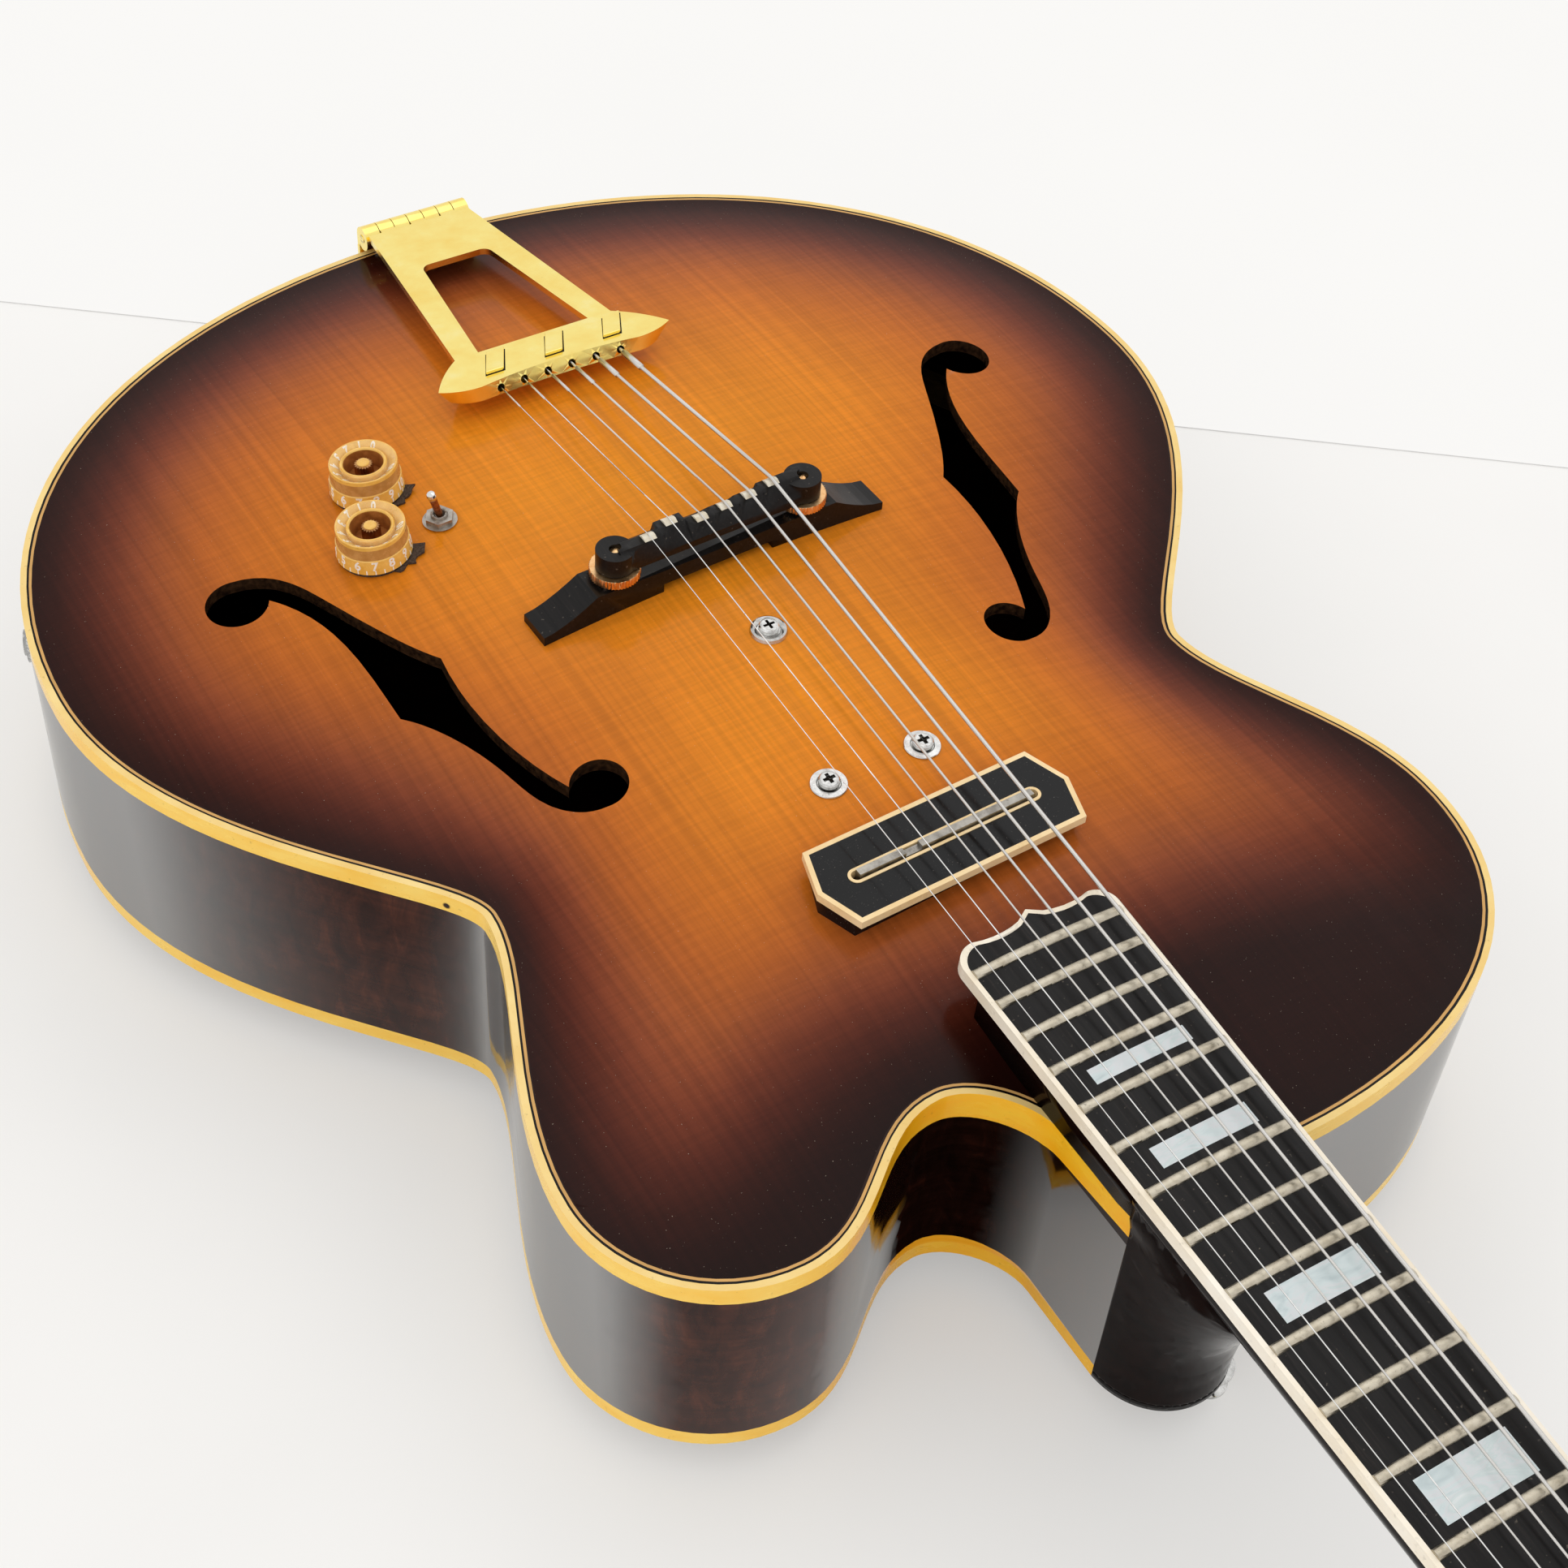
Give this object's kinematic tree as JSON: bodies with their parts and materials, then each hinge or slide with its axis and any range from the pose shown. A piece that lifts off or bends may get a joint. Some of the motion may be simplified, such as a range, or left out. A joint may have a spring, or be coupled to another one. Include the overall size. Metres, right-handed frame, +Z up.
{
  "type": "archtop guitar",
  "caption": "Hollow archtop guitar with a rounded cutaway, sunburst top with f-holes, floating blade pickup, height-adjustable bridge and hinged gold tailpiece.",
  "frame": {"origin": "under the middle of the whole guitar, on the surface that its arched back rests on", "axes": "+Z up out of the top, +Y towards the headstock, +X towards the cutaway (treble) side"},
  "size_m": [0.432, 1.0716, 0.1401],
  "materials": {
    "top_wood": "gloss sunburst lacquer",
    "rim_wood": "gloss dark brown lacquer",
    "neck_wood": "gloss dark brown lacquer",
    "inner_wood": "raw sanded",
    "ebony": "oiled",
    "binding": "aged ivory lacquer",
    "purfling": "black line under lacquer",
    "pearl": "pearl",
    "white": "polished",
    "black_plastic": "polished black",
    "amber_plastic": "clear amber over gold",
    "gold": "gold plated, worn",
    "nickel": "polished nickel",
    "steel": "plain steel",
    "string_steel": "bare wire",
    "dark_metal": "tarnished"
  },
  "bodies": {
    "guitar": {"rim_sides": "rim_wood", "top_binding": "binding", "back_binding": "binding", "top_purfling": "purfling", "top_plate": "top_wood", "back_plate": "rim_wood", "end_blocks": "inner_wood", "linings_and_bars": "inner_wood", "fingerboard": "ebony", "fingerboard_inlays": "pearl", "frets": "nickel", "neck": "neck_wood", "truss_rod": "steel", "heel_cap": "ebony", "headstock_veneer": "black_plastic", "neck_bindings": "binding", "truss_rod_cover": "black_plastic", "cover_and_bracket_screws": "nickel", "nut": "white", "tuner_bushings": "gold", "tuner_housings": "gold", "bridge_base": "ebony", "bridge_posts": "gold", "tail_bracket": "gold", "tailpiece_hinge_pin": "gold", "plain_strings": "string_steel", "wound_strings": "string_steel", "pickup_plate": "black_plastic", "pickup_trim": "white", "pickup_blade": "steel", "pickup_coil": "black_plastic", "pickup_magnets": "steel", "pickup_screws": "nickel", "control_pots": "steel", "knob_pointers": "dark_metal", "switch_body": "steel", "output_jack": "nickel", "strap_buttons": "nickel"},
    "tailpiece": {"tailpiece_frame": "gold", "tailpiece_crossbar": "gold"},
    "saddle": {"bridge_saddle": "ebony", "saddle_inserts": "white"},
    "wheel_bass": {"thumbwheel_bass": "gold"},
    "wheel_treble": {"thumbwheel_treble": "gold"},
    "volume": {"volume_knob": "amber_plastic"},
    "tone": {"tone_knob": "amber_plastic"},
    "lever": {"switch_lever": "nickel"},
    "post_1": {"tuner_post_1": "gold"},
    "button_1": {"tuner_button_1": "gold"},
    "post_2": {"tuner_post_2": "gold"},
    "button_2": {"tuner_button_2": "gold"},
    "post_3": {"tuner_post_3": "gold"},
    "button_3": {"tuner_button_3": "gold"},
    "post_4": {"tuner_post_4": "gold"},
    "button_4": {"tuner_button_4": "gold"},
    "post_5": {"tuner_post_5": "gold"},
    "button_5": {"tuner_button_5": "gold"},
    "post_6": {"tuner_post_6": "gold"},
    "button_6": {"tuner_button_6": "gold"}
  },
  "joints": [
    {"name": "tailpiece_hinge", "type": "hinge", "parent": "guitar", "child": "tailpiece", "pos_m": [0, -0.51904, 0.1076], "axis": [1, 0, 0], "range_deg": [0, 30], "deforming": ["plain_strings", "wound_strings"]},
    {"name": "saddle_height", "type": "slide", "parent": "guitar", "child": "saddle", "axis": [0, 0, 1], "range_m": [-0.0008, 0.003], "deforming": ["plain_strings", "wound_strings"]},
    {"name": "thumbwheel_bass_turn", "type": "hinge", "parent": "saddle", "child": "wheel_bass", "pos_m": [-0.03746, -0.28867, 0.1159], "axis": [0, 0, 1], "range_deg": [-361, 1351]},
    {"name": "thumbwheel_treble_turn", "type": "hinge", "parent": "saddle", "child": "wheel_treble", "pos_m": [0.03746, -0.2854, 0.1159], "axis": [0, 0, 1], "range_deg": [-361, 1351]},
    {"name": "volume_turn", "type": "hinge", "parent": "guitar", "child": "volume", "pos_m": [0.0974, -0.34634, 0.11184], "axis": [0.0776, -0.0056, 0.997], "range_deg": [-150, 150]},
    {"name": "tone_turn", "type": "hinge", "parent": "guitar", "child": "tone", "pos_m": [0.0859, -0.37664, 0.1119], "axis": [0.064, -0.0436, 0.997], "range_deg": [-150, 150]},
    {"name": "switch_throw", "type": "hinge", "parent": "guitar", "child": "lever", "pos_m": [0.0718, -0.34849, 0.11689], "axis": [0.0004, 0.9999, 0.0143], "range_deg": [-24, 0]},
    {"name": "post_1_turn", "type": "hinge", "parent": "guitar", "child": "post_1", "pos_m": [0.0205, 0.40329, 0.07105], "axis": [0, 0.2917, 0.9565], "continuous": true},
    {"name": "button_1_turn", "type": "hinge", "parent": "guitar", "child": "button_1", "pos_m": [0.0205, 0.40819, 0.06516], "axis": [1, 0, 0], "continuous": true},
    {"name": "post_2_turn", "type": "hinge", "parent": "guitar", "child": "post_2", "pos_m": [0.0237, 0.43773, 0.06055], "axis": [0, 0.2917, 0.9565], "continuous": true},
    {"name": "button_2_turn", "type": "hinge", "parent": "guitar", "child": "button_2", "pos_m": [0.0237, 0.44262, 0.05466], "axis": [1, 0, 0], "continuous": true},
    {"name": "post_3_turn", "type": "hinge", "parent": "guitar", "child": "post_3", "pos_m": [0.0269, 0.47216, 0.05004], "axis": [0, 0.2917, 0.9565], "continuous": true},
    {"name": "button_3_turn", "type": "hinge", "parent": "guitar", "child": "button_3", "pos_m": [0.0269, 0.47706, 0.04416], "axis": [1, 0, 0], "continuous": true},
    {"name": "post_4_turn", "type": "hinge", "parent": "guitar", "child": "post_4", "pos_m": [-0.0269, 0.47216, 0.05004], "axis": [0, 0.2917, 0.9565], "continuous": true},
    {"name": "button_4_turn", "type": "hinge", "parent": "guitar", "child": "button_4", "pos_m": [-0.0269, 0.46481, 0.04789], "axis": [-1, 0, 0], "continuous": true},
    {"name": "post_5_turn", "type": "hinge", "parent": "guitar", "child": "post_5", "pos_m": [-0.0237, 0.43773, 0.06055], "axis": [0, 0.2917, 0.9565], "continuous": true},
    {"name": "button_5_turn", "type": "hinge", "parent": "guitar", "child": "button_5", "pos_m": [-0.0237, 0.43038, 0.0584], "axis": [-1, 0, 0], "continuous": true},
    {"name": "post_6_turn", "type": "hinge", "parent": "guitar", "child": "post_6", "pos_m": [-0.0205, 0.40329, 0.07105], "axis": [0, 0.2917, 0.9565], "continuous": true},
    {"name": "button_6_turn", "type": "hinge", "parent": "guitar", "child": "button_6", "pos_m": [-0.0205, 0.39594, 0.0689], "axis": [-1, 0, 0], "continuous": true}
  ],
  "couplings": [
    {"joint": "thumbwheel_bass_turn", "follows": "saddle_height", "rad_per_m": 7854},
    {"joint": "thumbwheel_treble_turn", "follows": "saddle_height", "rad_per_m": 7854},
    {"joint": "post_1_turn", "follows": "button_1_turn", "ratio": 0.071429},
    {"joint": "post_2_turn", "follows": "button_2_turn", "ratio": 0.071429},
    {"joint": "post_3_turn", "follows": "button_3_turn", "ratio": 0.071429},
    {"joint": "post_4_turn", "follows": "button_4_turn", "ratio": 0.071429},
    {"joint": "post_5_turn", "follows": "button_5_turn", "ratio": 0.071429},
    {"joint": "post_6_turn", "follows": "button_6_turn", "ratio": 0.071429}
  ]
}
